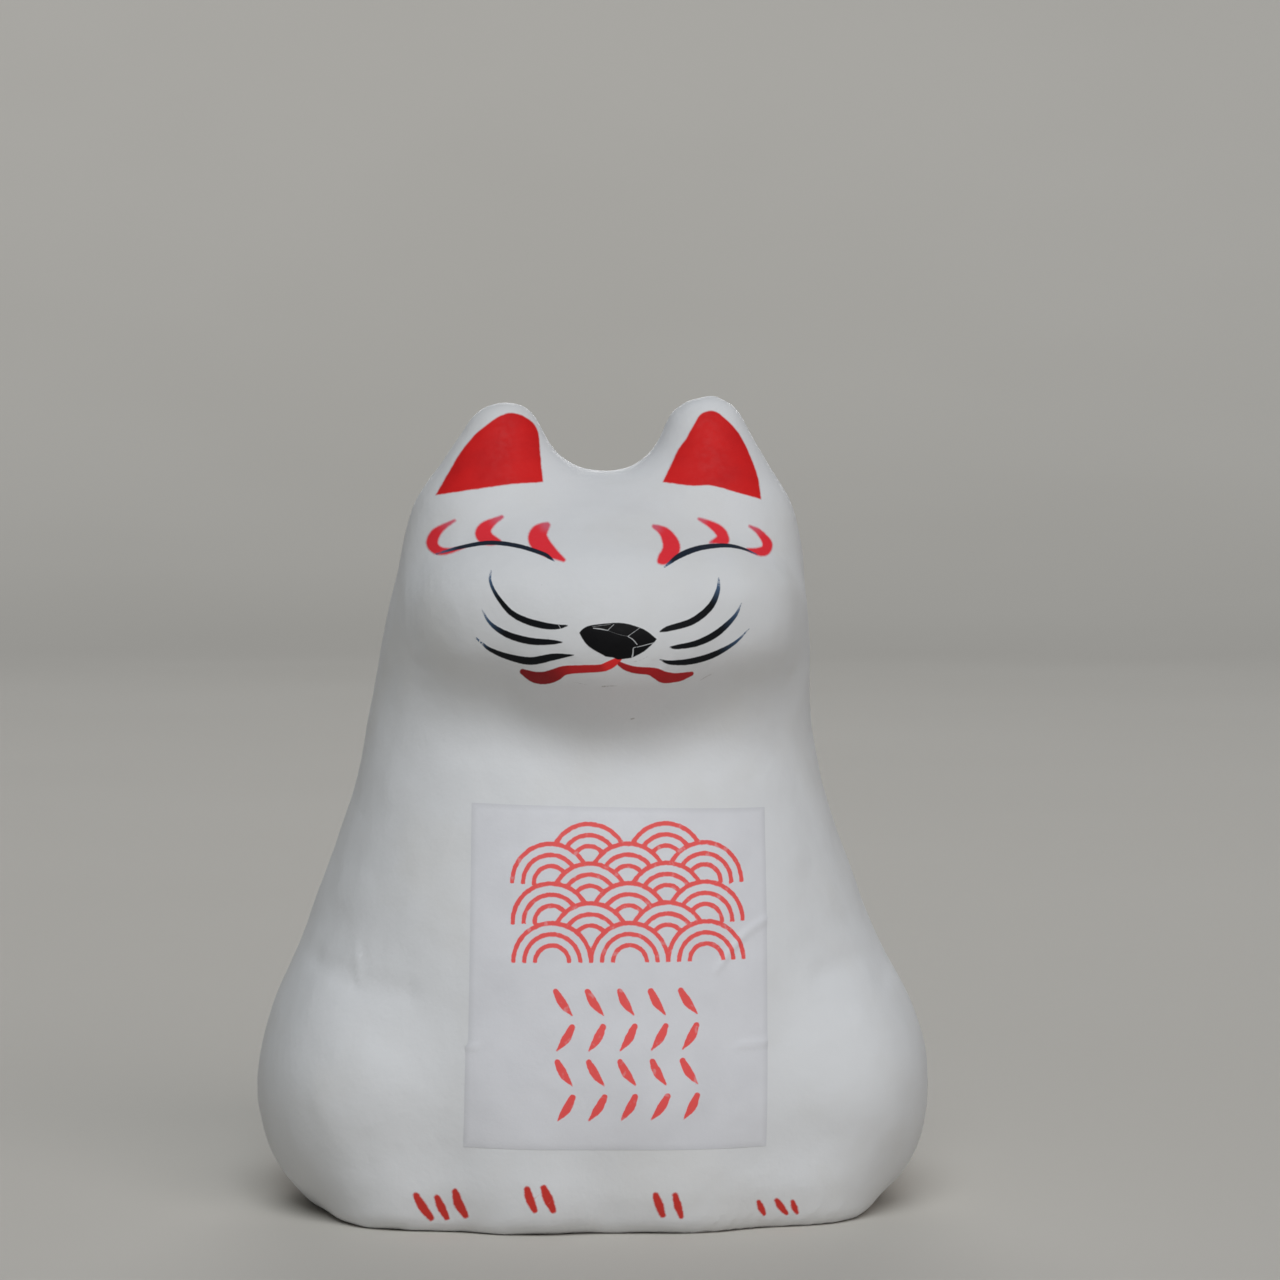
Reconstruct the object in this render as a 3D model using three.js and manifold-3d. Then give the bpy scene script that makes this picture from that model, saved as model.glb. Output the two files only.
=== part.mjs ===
// A seated papier-mache fox figure with a printed paper label glued to its chest.
// Millimetres, +Z up. The fox looks along -Y, +X is at the right of a viewer who
// faces it, and the origin is in the middle of its footprint on the ground.
//
// The body is one rounded shape, described by a field that is below zero inside it.
// Round forms are blended in that field, then a net of triangles is laid on it.

import * as THREE from 'three';
import { mergeVertices } from 'three/addons/utils/BufferGeometryUtils.js';
import Module from 'manifold-3d';

const wasm = await Module();
wasm.setup();

// Driving sizes of the figure
const HEAD = {
  x: 0.8,
  y: -3.5,
  z: 80.5,
  halfWidth: 29.3,
  front: 26,
  back: 25.5,
  halfHeight: 20.8,
  power: 2.35,
};
const FACE = { x: 1, y: -12, z: 82, halfWidth: 26.8, front: 23, back: 20, halfHeight: 12.5, power: 2.6 };
const NOSE = { x: 1, y: -28, z: 78.5, halfWidth: 11, front: 8.2, back: 8, halfHeight: 7, power: 2 };
const EAR = {
  shift: 1.5,
  baseX: 15.1,
  tipX: 14.3,
  y: -7,
  baseZ: 94,
  baseRadius: 11.9,
  tipRadius: 5.9,
  depth: 0.98,
};
const EAR_TOP = { left: 112.3, right: 113.2 };
const CROWN = { halfLength: 15, y: -6.5, z: 91.6, radius: 9 };

// Torso, level by level from the ground up: height, half width, front and back depth
const TORSO_SHIFT = -0.4;
const TORSO_POWER = 2.35;
const TORSO = [
  { z: 0, halfWidth: 34.4, front: 36, back: 30 },
  { z: 3, halfWidth: 38.6, front: 39.3, back: 33 },
  { z: 8, halfWidth: 42.3, front: 41.3, back: 35 },
  { z: 17, halfWidth: 43.8, front: 42.2, back: 36 },
  { z: 30, halfWidth: 41.6, front: 40, back: 34.3 },
  { z: 42, halfWidth: 38.7, front: 36.8, back: 31 },
  { z: 55, halfWidth: 34.2, front: 32.6, back: 26.5 },
  { z: 67, halfWidth: 31.5, front: 28, back: 24 },
  { z: 84, halfWidth: 28.8, front: 23, back: 22 },
];
const TORSO_TOP = 85;

// Limbs and tail, which swell only a little out of the torso
const HAUNCH = { x: 32, y: -8, z: 16, halfWidth: 13.6, front: 26, back: 24, halfHeight: 17.5, power: 2.1 };
const HIND_PAW = { x: 25, y: -27, z: 3, halfWidth: 10, front: 9, back: 9, halfHeight: 7, power: 2 };
const FRONT_PAW = { x: 9.5, y: -32, z: 3, halfWidth: 9, front: 8.4, back: 8, halfHeight: 8, power: 2 };
const TAIL = [
  { x: 17, y: 25, z: 3, radius: 7 },
  { x: 16, y: 29, z: 15, radius: 9 },
  { x: 10, y: 29.9, z: 29, radius: 9.8 },
  { x: 2, y: 27.6, z: 42, radius: 8.6 },
  { x: -3, y: 23.6, z: 53, radius: 6 },
  { x: -4, y: 20.6, z: 61, radius: 3.4 },
  { x: -3, y: 18.8, z: 67, radius: 1.6 },
];
const TAIL_STEPS = 15;

// How widely neighbouring forms run into each other
const BLEND = { shoulder: 20, head: 7, face: 5, nose: 9, ear: 5.5, crown: 6, haunch: 11, paw: 8, tail: 3 };

// The net of triangles laid on the body
const CELL = { across: 3.1, lowerBody: 3.4, head: 2.7 };
const HEAD_CELLS_FROM = 58;
const RELAXING_ROUNDS = 4;
const UNDER_GROUND = 9;
const REACH = { side: 54, front: -54, back: 48, top: 126 };
const SAME_POINT = 1e-3;
const TINY = 1e-9;

// The paper label on the chest: its corners as seen from the front, and how it lies on the body
const LABEL = {
  bottomLeft: { x: -19.6, z: 12 },
  bottomRight: { x: 21.2, z: 11.5 },
  topLeft: { x: -18.4, z: 57.3 },
  topRight: { x: 22.2, z: 56.3 },
  clearance: 0.3,
  thickness: 0.35,
};
const LABEL_CELLS = { across: 11, up: 12 };

function smoothUnion(a, b, width) {
  const overlap = Math.max(width - Math.abs(a - b), 0);
  return Math.min(a, b) - (overlap * overlap) / (4 * width);
}

// Distance to a rounded form with its own front and back depth
function rounded(form, x, y, z) {
  const dx = x - form.x;
  const dy = y - form.y;
  const dz = z - form.z;
  const depth = dy < 0 ? form.front : form.back;
  const reach = Math.pow(Math.abs(dx) / form.halfWidth, form.power)
    + Math.pow(Math.abs(dy) / depth, form.power)
    + Math.pow(Math.abs(dz) / form.halfHeight, form.power);
  if (reach < TINY) return -form.halfHeight;
  const length = Math.hypot(dx, dy, dz);
  return length - length / Math.pow(reach, 1 / form.power);
}

// Distance to the smooth hull around two balls, a rod that tapers from one to the other
function taperedRod(start, end, x, y, z) {
  const from = new THREE.Vector3(x - start.x, y - start.y, z - start.z);
  const axis = new THREE.Vector3(end.x - start.x, end.y - start.y, end.z - start.z);
  const length = axis.length();
  const along = from.dot(axis) / length;
  const aside = Math.sqrt(Math.max(from.lengthSq() - along * along, 0));
  const sine = (start.radius - end.radius) / length;
  const cosine = Math.sqrt(1 - sine * sine);
  const foot = along * cosine - aside * sine;
  if (foot < 0) return from.length() - start.radius;
  if (foot > length * cosine) return Math.hypot(aside, along - length) - end.radius;
  return aside * cosine + along * sine - start.radius;
}

// A smooth curve through the torso's levels, for one of its sizes
function levelSize(name, z) {
  const last = TORSO.length - 1;
  const height = THREE.MathUtils.clamp(z, TORSO[0].z, TORSO[last].z);
  let i = 0;
  while (i < last - 1 && height > TORSO[i + 1].z) i += 1;
  const slope = (k) => {
    const below = TORSO[Math.max(k - 1, 0)];
    const above = TORSO[Math.min(k + 1, last)];
    return (above[name] - below[name]) / (above.z - below.z);
  };
  const span = TORSO[i + 1].z - TORSO[i].z;
  const t = (height - TORSO[i].z) / span;
  const rise = TORSO[i + 1][name] - TORSO[i][name];
  const curve = (3 * t * t - 2 * t * t * t) * rise;
  const lead = (t * (1 - t) * (1 - t)) * slope(i) * span;
  const trail = (t * t * (1 - t)) * slope(i + 1) * span;
  return TORSO[i][name] + curve + lead - trail;
}

function torso(x0, y, z) {
  const x = x0 - TORSO_SHIFT;
  const halfWidth = levelSize('halfWidth', z);
  const depth = levelSize(y < 0 ? 'front' : 'back', z);
  const reach = Math.pow(Math.abs(x) / halfWidth, TORSO_POWER) + Math.pow(Math.abs(y) / depth, TORSO_POWER);
  const length = Math.hypot(x, y);
  const wall = reach < TINY ? -halfWidth : length - length / Math.pow(reach, 1 / TORSO_POWER);
  return -smoothUnion(-wall, TORSO_TOP - z, BLEND.shoulder);
}

function ear(side, x, y, z) {
  const top = side < 0 ? EAR_TOP.left : EAR_TOP.right;
  const base = { x: EAR.shift + side * EAR.baseX, y: 0, z: EAR.baseZ, radius: EAR.baseRadius };
  const tip = { x: EAR.shift + side * EAR.tipX, y: 0, z: top - EAR.tipRadius, radius: EAR.tipRadius };
  return taperedRod(base, tip, x, (y - EAR.y) / EAR.depth, z) * EAR.depth;
}

function crown(x, y, z) {
  const left = { x: HEAD.x - CROWN.halfLength, y: CROWN.y, z: CROWN.z, radius: CROWN.radius };
  const right = { x: HEAD.x + CROWN.halfLength, y: CROWN.y, z: CROWN.z, radius: CROWN.radius };
  return taperedRod(left, right, x, y, z);
}

function head(x, y, z) {
  let distance = rounded(HEAD, x, y, z);
  distance = smoothUnion(distance, rounded(FACE, x, y, z), BLEND.face);
  distance = smoothUnion(distance, crown(x, y, z), BLEND.crown);
  for (const side of [-1, 1]) {
    distance = smoothUnion(distance, ear(side, x, y, z), BLEND.ear);
  }
  return distance;
}

// Balls along a smooth curve through the tail's named places
function tailBalls() {
  const path = new THREE.CatmullRomCurve3(TAIL.map((p) => new THREE.Vector3(p.x, p.y, p.z)), false, 'catmullrom');
  const girth = new THREE.SplineCurve(TAIL.map((p, i) => new THREE.Vector2(i, p.radius)));
  return Array.from({ length: TAIL_STEPS + 1 }, (_, i) => {
    const share = i / TAIL_STEPS;
    return Object.assign(path.getPoint(share), { radius: girth.getPoint(share).y });
  });
}

const tailChain = tailBalls();

function tail(x, y, z) {
  let distance = Infinity;
  for (let i = 0; i < TAIL_STEPS; i += 1) {
    distance = Math.min(distance, taperedRod(tailChain[i], tailChain[i + 1], x, y, z));
  }
  return distance;
}

// Below zero inside the body, above zero outside it
function bodyField(x, y, z) {
  let distance = torso(x, y, z);
  for (const side of [-1, 1]) {
    distance = smoothUnion(distance, rounded(HAUNCH, side * x, y, z), BLEND.haunch);
    distance = smoothUnion(distance, rounded(HIND_PAW, side * x, y, z), BLEND.paw);
    distance = smoothUnion(distance, rounded(FRONT_PAW, side * x, y, z), BLEND.paw);
  }
  distance = smoothUnion(distance, tail(x, y, z), BLEND.tail);
  distance = smoothUnion(distance, head(x, y, z), BLEND.head);
  return smoothUnion(distance, rounded(NOSE, x, y, z), BLEND.nose);
}

// The outward direction of a field at a point, and how fast the field grows that way
function outward(field, p) {
  const step = 0.05;
  const direction = new THREE.Vector3(
    field(p.x + step, p.y, p.z) - field(p.x - step, p.y, p.z),
    field(p.x, p.y + step, p.z) - field(p.x, p.y - step, p.z),
    field(p.x, p.y, p.z + step) - field(p.x, p.y, p.z - step),
  );
  const steepness = direction.length() / (2 * step);
  return { direction: direction.normalize(), steepness: Math.max(steepness, 0.5) };
}

// Moves a point that is close to the surface onto it
function settle(field, p) {
  const passes = 3;
  for (let pass = 0; pass < passes; pass += 1) {
    const { direction, steepness } = outward(field, p);
    p.addScaledVector(direction, -field(p.x, p.y, p.z) / steepness);
  }
}

// Evenly spaced grid lines along one axis
function gridLines(from, to, spacing) {
  const count = Math.ceil((to - from) / spacing);
  return Array.from({ length: count + 1 }, (_, i) => from + (i * (to - from)) / count);
}

// Lays a closed net of four-sided cells on the surface where the field is zero
function netOnSurface(field, xs, ys, zs) {
  const [nx, ny, nz] = [xs.length, ys.length, zs.length];
  const values = new Float64Array(nx * ny * nz);
  const at = (i, j, k) => (k * ny + j) * nx + i;
  for (let k = 0; k < nz; k += 1) {
    for (let j = 0; j < ny; j += 1) {
      for (let i = 0; i < nx; i += 1) values[at(i, j, k)] = field(xs[i], ys[j], zs[k]);
    }
  }
  const corners = [[0, 0, 0], [1, 0, 0], [0, 1, 0], [1, 1, 0], [0, 0, 1], [1, 0, 1], [0, 1, 1], [1, 1, 1]];
  const edges = [
    [0, 1], [2, 3], [4, 5], [6, 7],
    [0, 2], [1, 3], [4, 6], [5, 7],
    [0, 4], [1, 5], [2, 6], [3, 7],
  ];
  const points = [];
  const pointOfCell = new Map();
  for (let k = 0; k + 1 < nz; k += 1) {
    for (let j = 0; j + 1 < ny; j += 1) {
      for (let i = 0; i + 1 < nx; i += 1) {
        const sum = new THREE.Vector3();
        let crossings = 0;
        for (const [a, b] of edges) {
          const [ca, cb] = [corners[a], corners[b]];
          const va = values[at(i + ca[0], j + ca[1], k + ca[2])];
          const vb = values[at(i + cb[0], j + cb[1], k + cb[2])];
          if ((va < 0) === (vb < 0)) continue;
          const t = va / (va - vb);
          const place = (lines, n, axis) => THREE.MathUtils.lerp(lines[n + ca[axis]], lines[n + cb[axis]], t);
          sum.add(new THREE.Vector3(place(xs, i, 0), place(ys, j, 1), place(zs, k, 2)));
          crossings += 1;
        }
        if (crossings === 0) continue;
        pointOfCell.set(at(i, j, k), points.length);
        points.push(sum.divideScalar(crossings));
      }
    }
  }
  const quads = [];
  const addQuad = (inside, a, b, c, d) => {
    const quad = [a, b, c, d].map((cell) => pointOfCell.get(cell));
    quads.push(inside ? quad : quad.reverse());
  };
  for (let k = 1; k + 1 < nz; k += 1) {
    for (let j = 1; j + 1 < ny; j += 1) {
      for (let i = 1; i + 1 < nx; i += 1) {
        const inside = values[at(i, j, k)] < 0;
        if (inside !== values[at(i + 1, j, k)] < 0) {
          addQuad(inside, at(i, j - 1, k - 1), at(i, j, k - 1), at(i, j, k), at(i, j - 1, k));
        }
        if (inside !== values[at(i, j + 1, k)] < 0) {
          addQuad(inside, at(i - 1, j, k - 1), at(i - 1, j, k), at(i, j, k), at(i, j, k - 1));
        }
        if (inside !== values[at(i, j, k + 1)] < 0) {
          addQuad(inside, at(i - 1, j - 1, k), at(i, j - 1, k), at(i, j, k), at(i - 1, j, k));
        }
      }
    }
  }
  return { points, quads };
}

// Evens out the net: each point moves to the middle of its neighbours, then back onto the surface
function relax(field, { points, quads }) {
  const sums = points.map(() => new THREE.Vector3());
  const counts = points.map(() => 0);
  for (const quad of quads) {
    quad.forEach((point, corner) => {
      sums[point].add(points[quad[(corner + 1) % 4]]);
      counts[point] += 1;
    });
    quad.forEach((point, corner) => {
      sums[point].add(points[quad[(corner + 3) % 4]]);
      counts[point] += 1;
    });
  }
  points.forEach((point, i) => {
    point.copy(sums[i]).divideScalar(counts[i]);
    settle(field, point);
  });
}

// Splits each four-sided cell along its shorter diagonal
function triangles({ points, quads }) {
  const index = [];
  for (const [a, b, c, d] of quads) {
    const acrossAC = points[a].distanceTo(points[c]);
    const acrossBD = points[b].distanceTo(points[d]);
    if (acrossAC < acrossBD) index.push(a, b, c, a, c, d);
    else index.push(a, b, d, b, c, d);
  }
  return index;
}

function geometryOf(points, index) {
  const places = points.flatMap((p) => [p.x, p.y, p.z]);
  const geometry = new THREE.BufferGeometry();
  geometry.setAttribute('position', new THREE.Float32BufferAttribute(places, 3));
  geometry.setIndex(index);
  return geometry;
}

function solidOf(geometry) {
  const bare = geometry.clone();
  bare.deleteAttribute('normal');
  bare.deleteAttribute('uv');
  const merged = mergeVertices(bare, SAME_POINT);
  return new wasm.Manifold(new wasm.Mesh({
    numProp: 3,
    vertProperties: new Float32Array(merged.attributes.position.array),
    triVerts: new Uint32Array(merged.index.array),
  }));
}

function geometryOfSolid(solid) {
  const mesh = solid.getMesh();
  const places = new Float32Array(mesh.vertProperties);
  const geometry = new THREE.BufferGeometry();
  geometry.setAttribute('position', new THREE.BufferAttribute(places, 3));
  geometry.setIndex(new THREE.BufferAttribute(new Uint32Array(mesh.triVerts), 1));
  return geometry;
}

// The body's net reaches below the ground and is cut off there, which gives the flat underside
function foxFigure() {
  const xs = gridLines(-REACH.side, REACH.side, CELL.across);
  const ys = gridLines(REACH.front, REACH.back, CELL.across);
  const lowLines = gridLines(-UNDER_GROUND, HEAD_CELLS_FROM, CELL.lowerBody);
  const zs = [...lowLines.slice(0, -1), ...gridLines(HEAD_CELLS_FROM, REACH.top, CELL.head)];
  const stub = (x, y, z) => Math.max(bodyField(x, y, z), -z - UNDER_GROUND / 2);
  const net = netOnSurface(stub, xs, ys, zs);
  for (let round = 0; round < RELAXING_ROUNDS; round += 1) relax(stub, net);
  const figure = solidOf(geometryOf(net.points, triangles(net)));
  const groundWidth = 4 * REACH.side;
  const groundBox = new THREE.BoxGeometry(groundWidth, groundWidth, groundWidth);
  groundBox.translate(0, 0, -groundWidth / 2);
  const geometry = geometryOfSolid(figure.subtract(solidOf(groundBox)));
  const plaster = new THREE.MeshStandardMaterial({ color: 0xd9dbdc, roughness: 0.72, metalness: 0 });
  const mesh = new THREE.Mesh(geometry, plaster);
  mesh.name = 'fox_figure';
  return mesh;
}

// The point of the chest that lies behind a place seen from the front
function chestPoint(x, z) {
  let outside = REACH.front;
  let inside = 0;
  const halvings = 30;
  for (let i = 0; i < halvings; i += 1) {
    const middle = (outside + inside) / 2;
    if (bodyField(x, middle, z) < 0) inside = middle;
    else outside = middle;
  }
  return new THREE.Vector3(x, inside, z);
}

// A place on the label, from its lower left corner to its upper right one
function labelPlace(across, up) {
  const along = (name) => {
    const low = THREE.MathUtils.lerp(LABEL.bottomLeft[name], LABEL.bottomRight[name], across);
    const high = THREE.MathUtils.lerp(LABEL.topLeft[name], LABEL.topRight[name], across);
    return THREE.MathUtils.lerp(low, high, up);
  };
  return chestPoint(along('x'), along('z'));
}

// A thin sheet that follows the chest: a back layer, a front layer and a rim that joins them
function paperLabel() {
  const { across, up } = LABEL_CELLS;
  const back = [];
  const front = [];
  for (let j = 0; j <= up; j += 1) {
    for (let i = 0; i <= across; i += 1) {
      const place = labelPlace(i / across, j / up);
      const { direction } = outward(bodyField, place);
      back.push(place.clone().addScaledVector(direction, LABEL.clearance));
      front.push(place.clone().addScaledVector(direction, LABEL.clearance + LABEL.thickness));
    }
  }
  const at = (i, j) => j * (across + 1) + i;
  const layer = back.length;
  const index = [];
  for (let j = 0; j < up; j += 1) {
    for (let i = 0; i < across; i += 1) {
      const [a, b, c, d] = [at(i, j), at(i + 1, j), at(i + 1, j + 1), at(i, j + 1)];
      index.push(a + layer, b + layer, c + layer, a + layer, c + layer, d + layer);
      index.push(a, c, b, a, d, c);
    }
  }
  const addRim = (a, b) => index.push(a, b, b + layer, a, b + layer, a + layer);
  for (let i = 0; i < across; i += 1) {
    addRim(at(i, 0), at(i + 1, 0));
    addRim(at(i + 1, up), at(i, up));
  }
  for (let j = 0; j < up; j += 1) {
    addRim(at(across, j), at(across, j + 1));
    addRim(at(0, j + 1), at(0, j));
  }
  const paper = new THREE.MeshStandardMaterial({ color: 0xc9cad0, roughness: 0.6, metalness: 0 });
  const mesh = new THREE.Mesh(geometryOf([...back, ...front], index), paper);
  mesh.name = 'paper_label';
  return mesh;
}

// Puts the origin under the middle of the whole figure's box
function centre(group) {
  const middle = new THREE.Box3().setFromObject(group).getCenter(new THREE.Vector3());
  group.position.set(-middle.x, -middle.y, 0);
}

const model = new THREE.Group();
model.add(foxFigure(), paperLabel());
centre(model);

export default model;
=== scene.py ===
"""Looks of the papier-mache fox figure: a smooth painted body and a pasted paper label."""
import math
import bmesh
import bpy
import numpy as np
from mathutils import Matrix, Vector, noise
from mathutils.bvhtree import BVHTree
from mathutils.kdtree import KDTree


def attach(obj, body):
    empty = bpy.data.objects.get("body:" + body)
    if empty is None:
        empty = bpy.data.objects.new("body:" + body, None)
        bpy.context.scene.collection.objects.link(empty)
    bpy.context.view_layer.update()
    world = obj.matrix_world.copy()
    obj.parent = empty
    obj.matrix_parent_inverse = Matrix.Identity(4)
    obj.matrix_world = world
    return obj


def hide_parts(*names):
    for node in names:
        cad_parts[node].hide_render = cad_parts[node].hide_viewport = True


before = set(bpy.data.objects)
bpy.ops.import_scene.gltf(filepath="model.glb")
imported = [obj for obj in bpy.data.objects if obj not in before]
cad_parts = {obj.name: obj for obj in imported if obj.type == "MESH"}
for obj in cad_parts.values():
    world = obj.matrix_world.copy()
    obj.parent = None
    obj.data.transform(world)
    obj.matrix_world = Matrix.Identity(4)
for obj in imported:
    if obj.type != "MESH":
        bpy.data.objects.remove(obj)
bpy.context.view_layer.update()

MM = 0.001

# Camera and lens, as the photograph was taken
AIM = (7.15, 1.08, 78.4)
CAMERA_DISTANCE = 600.0
CAMERA_AZIMUTH = -4.2
CAMERA_DOWN = 2.0
SENSOR = 36.0
LENS = 118.1

# Body surface, in mm
WELD = 0.001
VOXEL = 0.8
SMOOTHING_ROUNDS = 5
RESTORE_ROUNDS = 2
LAST_ROUNDS = 2
MARKS_PER_POINT = 8
MARK_REACH = 2.2
MARK_LIMIT = 0.6
EDGE_CRACK = 0.07
EDGE_FINE = 0.3
EDGE_COARSE = 3.0
CRACK_GRADE = 1.2
PAINT_BAND = 0.5
REFINE_ROUNDS = 5
EYE_THIN = 0.2
WHISKER_THIN = 0.38
BROW_SOFT = 0.2
BROW_TIP = 0.4
DRY_WHISKER = 2
DRY_SHARE = 0.2
FRONT_LIMIT = -5.6
FAR = 3.0
CURVE_STEPS = 6
LUMPS = ((17.0, 0.26), (6.5, 0.17), (2.4, 0.05))
BASE_FADE = 3.0

# Brush strokes of the face: x, z and half the width along each stroke, in mm, seen from the front
BROWS = (
    ((-19.8, 95.6, 0.18), (-21.2, 94.8, 0.38), (-22.4, 93.8, 0.68), (-22.9, 92.5, 0.81),
     (-22.3, 91.6, 0.68), (-20.9, 91.4, 0.43), (-18.5, 92.0, 0.12)),
    ((-13.4, 96.1, 0.26), (-14.5, 95.5, 0.46), (-15.6, 94.7, 0.84), (-16.0, 93.8, 1.12),
     (-15.5, 93.2, 0.95), (-14.6, 92.9, 0.6), (-13.9, 92.8, 0.26)),
    ((-7.3, 95.0, 0.42), (-8.0, 94.5, 0.8), (-8.6, 93.8, 1.15), (-8.65, 92.9, 1.38),
     (-7.8, 91.9, 1.12), (-6.5, 91.0, 0.62), (-5.5, 90.35, 0.28)),
    ((7.3, 94.8, 0.3), (8.1, 94.4, 0.55), (8.9, 93.7, 0.89), (9.4, 92.3, 1.22),
     (9.0, 91.3, 1.08), (8.1, 90.5, 0.8), (7.5, 90.1, 0.34)),
    ((13.8, 95.8, 0.22), (15.0, 95.25, 0.44), (16.2, 94.5, 0.7), (16.8, 93.8, 0.84), (16.9, 93.1, 0.95)),
    ((15.0, 92.6, 0.2), (15.9, 92.85, 0.42), (16.9, 93.1, 0.8)),
    ((21.0, 94.8, 0.18), (22.2, 94.1, 0.42), (23.1, 93.1, 0.62), (23.5, 92.2, 0.8),
     (23.0, 91.45, 0.72), (21.9, 91.3, 0.55), (20.3, 91.6, 0.2)),
)
MOUTH = (
    ((-11.1, 75.3, 0.4), (-9.6, 74.6, 0.76), (-8.2, 74.5, 0.89), (-6.9, 74.9, 0.89),
     (-5.8, 75.5, 0.68), (-4.6, 75.7, 0.58), (-2.9, 75.8, 0.54), (-0.9, 75.9, 0.52),
     (0.1, 76.2, 0.58), (1.0, 76.7, 0.5), (1.8, 77.2, 0.24)),
    ((1.7, 76.5, 0.3), (2.4, 76.1, 0.42), (3.2, 75.8, 0.46), (4.2, 75.6, 0.48), (5.8, 75.45, 0.54),
     (6.8, 75.1, 0.73), (7.8, 74.6, 0.82), (9.1, 74.5, 0.68), (10.2, 74.6, 0.58),
     (11.7, 75.0, 0.3)),
)
# How deep the mouth's red is: shares of each stroke's length, and the depth at each
MOUTH_DEPTHS = (
    ((0.2, 0.3, 0.4, 0.5, 0.7, 0.78), (1.0, 0.93, 0.7, 0.5, 0.45, 0.0)),
    ((0.0, 1.0), (0.7, 0.7)),
)
EYES = (
    ((-22.4, 91.0, 0.12), (-18.9, 92.0, 0.24), (-15.2, 92.6, 0.29), (-11.5, 92.2, 0.29),
     (-8.3, 91.2, 0.28), (-7.4, 90.7, 0.24), (-6.7, 90.15, 0.05)),
    ((21.7, 90.9, 0.08), (19.5, 91.8, 0.2), (17.0, 92.2, 0.28), (13.4, 91.9, 0.35),
     (10.4, 90.9, 0.36), (8.1, 89.4, 0.1)),
)
WHISKERS = (
    ((-15.2, 88.9, 0.08), (-15.4, 87.7, 0.17), (-15.0, 86.4, 0.22), (-14.1, 84.9, 0.3),
     (-12.7, 83.3, 0.38), (-10.9, 82.3, 0.44), (-8.6, 81.65, 0.46), (-6.6, 81.45, 0.33), (-5.2, 81.65, 0.08)),
    ((-16.6, 83.8, 0.05), (-15.4, 81.8, 0.23), (-13.1, 80.3, 0.43), (-10.1, 79.5, 0.47),
     (-7.4, 79.4, 0.34), (-5.9, 79.4, 0.07)),
    ((-17.3, 79.8, 0.12), (-16.4, 79.0, 0.17), (-15.5, 78.3, 0.26), (-13.3, 77.4, 0.41), (-10.2, 76.8, 0.54),
     (-7.1, 77.4, 0.46), (-4.4, 77.7, 0.07)),
    ((15.6, 87.9, 0.1), (15.3, 86.0, 0.32), (14.1, 83.9, 0.46), (11.6, 82.1, 0.46),
     (8.4, 81.2, 0.38), (7.2, 80.8, 0.11)),
    ((18.7, 84.5, 0.05), (17.6, 82.6, 0.28), (15.2, 80.5, 0.46), (12.4, 79.2, 0.43),
     (9.5, 78.7, 0.3), (8.5, 78.7, 0.08)),
    ((19.8, 81.0, 0.05), (17.7, 79.1, 0.22), (14.6, 77.5, 0.42), (11.4, 76.7, 0.43),
     (8.7, 76.6, 0.3), (7.2, 77.0, 0.09)),
)
CLAWS = (
    ((-25.7, 5.2, 0.42), (-24.8, 3.6, 0.62), (-23.7, 2.1, 0.42)),
    ((-22.9, 5.0, 0.4), (-22.3, 3.6, 0.58), (-21.6, 2.2, 0.4)),
    ((-20.5, 5.9, 0.42), (-20.0, 4.2, 0.66), (-19.1, 2.6, 0.42)),
    ((-11.0, 6.6, 0.42), (-10.6, 5.2, 0.6), (-10.0, 3.8, 0.4)),
    ((-8.8, 6.8, 0.42), (-8.2, 5.3, 0.66), (-7.5, 3.7, 0.42)),
    ((6.2, 5.6, 0.4), (6.7, 4.2, 0.58), (7.2, 2.8, 0.38)),
    ((8.8, 5.6, 0.38), (9.2, 4.1, 0.52), (9.7, 2.6, 0.34)),
    ((20.4, 3.9, 0.34), (20.8, 3.0, 0.46), (21.2, 2.2, 0.3)),
    ((22.9, 4.0, 0.34), (23.5, 3.1, 0.5), (24.3, 2.1, 0.3)),
    ((25.1, 3.7, 0.3), (25.4, 2.9, 0.42), (25.8, 2.1, 0.26)),
)
CRACKS = (
    ((-1.8, 81.3, 0.07), (-0.9, 81.2, 0.09), (0.1, 81.0, 0.06)),
    ((0.1, 81.0, 0.05), (0.45, 81.35, 0.04), (0.95, 81.8, 0.04)),
    ((-2.0, 81.5, 0.02), (-0.4, 81.7, 0.03), (0.5, 81.8, 0.02)),
    ((0.1, 81.0, 0.02), (0.85, 80.7, 0.01), (1.8, 80.4, 0.01), (2.8, 80.2, 0.02)),
    ((4.4, 81.3, 0.03), (3.6, 80.75, 0.04), (2.8, 80.2, 0.05)),
    ((2.8, 80.2, 0.06), (3.5, 79.75, 0.08), (4.05, 79.1, 0.07)),
    ((4.05, 78.75, 0.05), (4.9, 78.95, 0.06), (6.5, 79.35, 0.05)),
    ((3.9, 78.75, 0.05), (3.55, 78.6, 0.07), (3.5, 78.0, 0.1), (3.4, 77.4, 0.11)),
    ((-6.6, 82.0, 0.03), (-6.3, 81.5, 0.05), (-6.1, 81.1, 0.03)),
)
MARKS = (
    ((-0.5, 73.4, 0.1), (-0.3, 73.4, 0.08), (1.6, 73.5, 0.01)),
    ((3.6, 68.7, 0.06), (4.1, 68.8, 0.1)),
    ((-4.4, 74.0, 0.01), (-3.5, 73.8, 0.03), (-2.6, 73.6, 0.01)),
    ((2.7, 76.8, 0.01), (3.7, 76.8, 0.03), (4.8, 77.1, 0.03), (5.7, 77.6, 0.01)),
    ((-8.7, 87.0, 0.05), (-8.5, 87.0, 0.05)),
    ((12.8, 73.9, 0.01), (13.8, 74.5, 0.04), (14.9, 75.0, 0.01)),
)
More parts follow.
